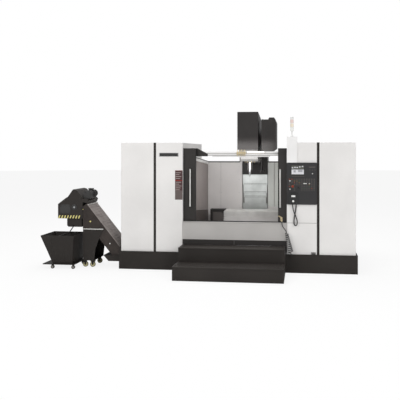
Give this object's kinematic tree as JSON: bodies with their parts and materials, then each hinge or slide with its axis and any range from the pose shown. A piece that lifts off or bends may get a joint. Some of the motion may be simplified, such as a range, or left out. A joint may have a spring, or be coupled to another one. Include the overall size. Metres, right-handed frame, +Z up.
{
  "type": "cnc machining center",
  "caption": "Vertical machining centre in a sheet-metal enclosure with sliding doors, control panel, steps, inclined chip conveyor and wheeled chip bin.",
  "frame": {"origin": "on the floor under the middle of the whole, cords left out", "axes": "+X to the operator's right along the enclosure, +Y back from the doors, +Z up"},
  "size_m": [5.556, 3.368, 2.812],
  "materials": {
    "white_paint": "semi-gloss powder coat",
    "apron_paint": "semi-gloss powder coat",
    "black_paint": "satin powder coat",
    "charcoal_paint": "satin powder coat",
    "interior_paint": "satin paint",
    "cover_steel": "brushed sheet",
    "conveyor_paint": "matte paint",
    "casting_paint": "painted casting",
    "motor_paint": "painted casting",
    "table_iron": "ground",
    "bright_steel": "ground",
    "chrome_nose": "polished",
    "safety_glass": "clear pane",
    "handle_metal": "satin",
    "key_plastic": "matte",
    "pendant_plastic": "matte",
    "screen_glass": "gloss",
    "lamp_plastic": "gloss",
    "red_plastic": "gloss",
    "brass": "satin",
    "hose_plastic": "matte"
  },
  "bodies": {
    "frame": {"air_gun": "brass", "air_hose": "hose_plastic", "air_hose_coil": "hose_plastic", "base_casting": "casting_paint", "chip_bin": "black_paint", "column": "casting_paint", "conveyor_belt": "bright_steel", "conveyor_cover": "conveyor_paint", "conveyor_head": "black_paint", "conveyor_motor": "motor_paint", "conveyor_stand": "black_paint", "conveyor_trough": "conveyor_paint", "coolant_tank": "black_paint", "display_screen": "screen_glass", "door_beam": "white_paint", "electrical_cabinet": "interior_paint", "front_apron": "apron_paint", "junction_box": "white_paint", "left_housing": "white_paint", "levelling_feet": "bright_steel", "magazine_cover": "charcoal_paint", "magazine_frame": "casting_paint", "operator_panel": "charcoal_paint", "panel_keys": "key_plastic", "pendant": "pendant_plastic", "pendant_cable": "hose_plastic", "plinth_frame": "black_paint", "rear_way_cover": "cover_steel", "right_housing": "white_paint", "signal_tower": "lamp_plastic", "splash_guard": "interior_paint", "step_platform": "black_paint"},
    "saddle": {"saddle": "casting_paint", "x_motor_cover": "charcoal_paint"},
    "table": {"table": "table_iron"},
    "x_screw": {"x_ballscrew": "bright_steel"},
    "y_screw": {"y_ballscrew": "bright_steel"},
    "z_screw": {"z_ballscrew": "bright_steel"},
    "head": {"spindle_head": "casting_paint", "spindle_motor": "motor_paint", "head_cover": "charcoal_paint", "head_apron": "charcoal_paint"},
    "spindle": {"spindle_shaft": "chrome_nose", "tool_holder": "chrome_nose"},
    "way_cover_1": {"z_way_cover_1": "cover_steel"},
    "way_cover_2": {"z_way_cover_2": "cover_steel"},
    "way_cover_3": {"z_way_cover_3": "cover_steel"},
    "left_door": {"left_door": "charcoal_paint", "left_window": "safety_glass", "left_handle": "handle_metal"},
    "right_door": {"right_door": "charcoal_paint", "right_window": "safety_glass", "right_handle": "handle_metal"},
    "tool_disc": {"tool_disc": "bright_steel"},
    "change_arm": {"change_arm": "bright_steel"},
    "conveyor_shaft": {"conveyor_shaft": "bright_steel"},
    "pendant_wheel": {"pendant_wheel": "key_plastic"},
    "emergency_stop": {"emergency_stop": "red_plastic"},
    "feed_knob": {"feed_knob": "key_plastic"},
    "cabinet_door": {"cabinet_door": "interior_paint"}
  },
  "joints": [
    {"name": "y_axis", "type": "slide", "parent": "frame", "child": "saddle", "axis": [0, 1, 0], "range_m": [-0.38, 0.17]},
    {"name": "x_axis", "type": "slide", "parent": "saddle", "child": "table", "axis": [1, 0, 0], "range_m": [-0.42, 0.14]},
    {"name": "z_axis", "type": "slide", "parent": "frame", "child": "head", "axis": [0, 0, 1], "range_m": [-0.48, 0.12]},
    {"name": "x_screw_turn", "type": "hinge", "parent": "saddle", "child": "x_screw", "pos_m": [0.863, 0.174, 0.815], "axis": [1, 0, 0], "range_deg": [-7600, 2560]},
    {"name": "y_screw_turn", "type": "hinge", "parent": "frame", "child": "y_screw", "pos_m": [0.863, 0.124, 0.608], "axis": [0, 1, 0], "range_deg": [-6880, 3100]},
    {"name": "z_screw_turn", "type": "hinge", "parent": "frame", "child": "z_screw", "pos_m": [0.863, 0.948, 1.7], "axis": [0, 0, 1], "range_deg": [-8680, 2200]},
    {"name": "way_cover_1_slide", "type": "slide", "parent": "frame", "child": "way_cover_1", "axis": [0, 0, 1], "range_m": [-0.361, 0.091]},
    {"name": "way_cover_2_slide", "type": "slide", "parent": "frame", "child": "way_cover_2", "axis": [0, 0, 1], "range_m": [-0.241, 0.061]},
    {"name": "way_cover_3_slide", "type": "slide", "parent": "frame", "child": "way_cover_3", "axis": [0, 0, 1], "range_m": [-0.121, 0.031]},
    {"name": "spindle_turn", "type": "hinge", "parent": "head", "child": "spindle", "pos_m": [0.863, 0.184, 1.727], "axis": [0, 0, 1], "continuous": true},
    {"name": "left_door_slide", "type": "slide", "parent": "frame", "child": "left_door", "axis": [1, 0, 0], "range_m": [0, 0.69]},
    {"name": "right_door_slide", "type": "slide", "parent": "frame", "child": "right_door", "axis": [-1, 0, 0], "range_m": [0, 0.749]},
    {"name": "tool_disc_turn", "type": "hinge", "parent": "frame", "child": "tool_disc", "pos_m": [1.228, 0.184, 2.385], "axis": [1, 0, 0], "continuous": true},
    {"name": "change_arm_swing", "type": "hinge", "parent": "frame", "child": "change_arm", "pos_m": [1.086, 0.184, 1.712], "axis": [0, 0, 1], "range_deg": [0, 90]},
    {"name": "conveyor_drive_turn", "type": "hinge", "parent": "frame", "child": "conveyor_shaft", "pos_m": [-2.232, -0.476, 1.075], "axis": [0, 1, 0], "continuous": true},
    {"name": "pendant_wheel_turn", "type": "hinge", "parent": "frame", "child": "pendant_wheel", "pos_m": [1.693, -0.852, 1.232], "axis": [0, 1, 0], "continuous": true},
    {"name": "emergency_stop_press", "type": "slide", "parent": "frame", "child": "emergency_stop", "axis": [0, 1, 0], "range_m": [0, 0.005], "stiffness_N_per_m": 2000},
    {"name": "feed_knob_turn", "type": "hinge", "parent": "frame", "child": "feed_knob", "pos_m": [1.773, -0.801, 1.448], "axis": [0, 1, 0], "range_deg": [-135, 135]},
    {"name": "cabinet_door_swing", "type": "hinge", "parent": "frame", "child": "cabinet_door", "pos_m": [2.6563, 1.61415, 1.2], "axis": [0, 0, -1], "range_deg": [0, 110]}
  ],
  "couplings": [
    {"joint": "way_cover_1_slide", "follows": "z_axis", "ratio": 0.75},
    {"joint": "way_cover_2_slide", "follows": "z_axis", "ratio": 0.5},
    {"joint": "way_cover_3_slide", "follows": "z_axis", "ratio": 0.25},
    {"joint": "x_screw_turn", "follows": "x_axis", "rad_per_m": 314.16},
    {"joint": "y_screw_turn", "follows": "y_axis", "rad_per_m": 314.16},
    {"joint": "z_screw_turn", "follows": "z_axis", "rad_per_m": 314.16}
  ]
}
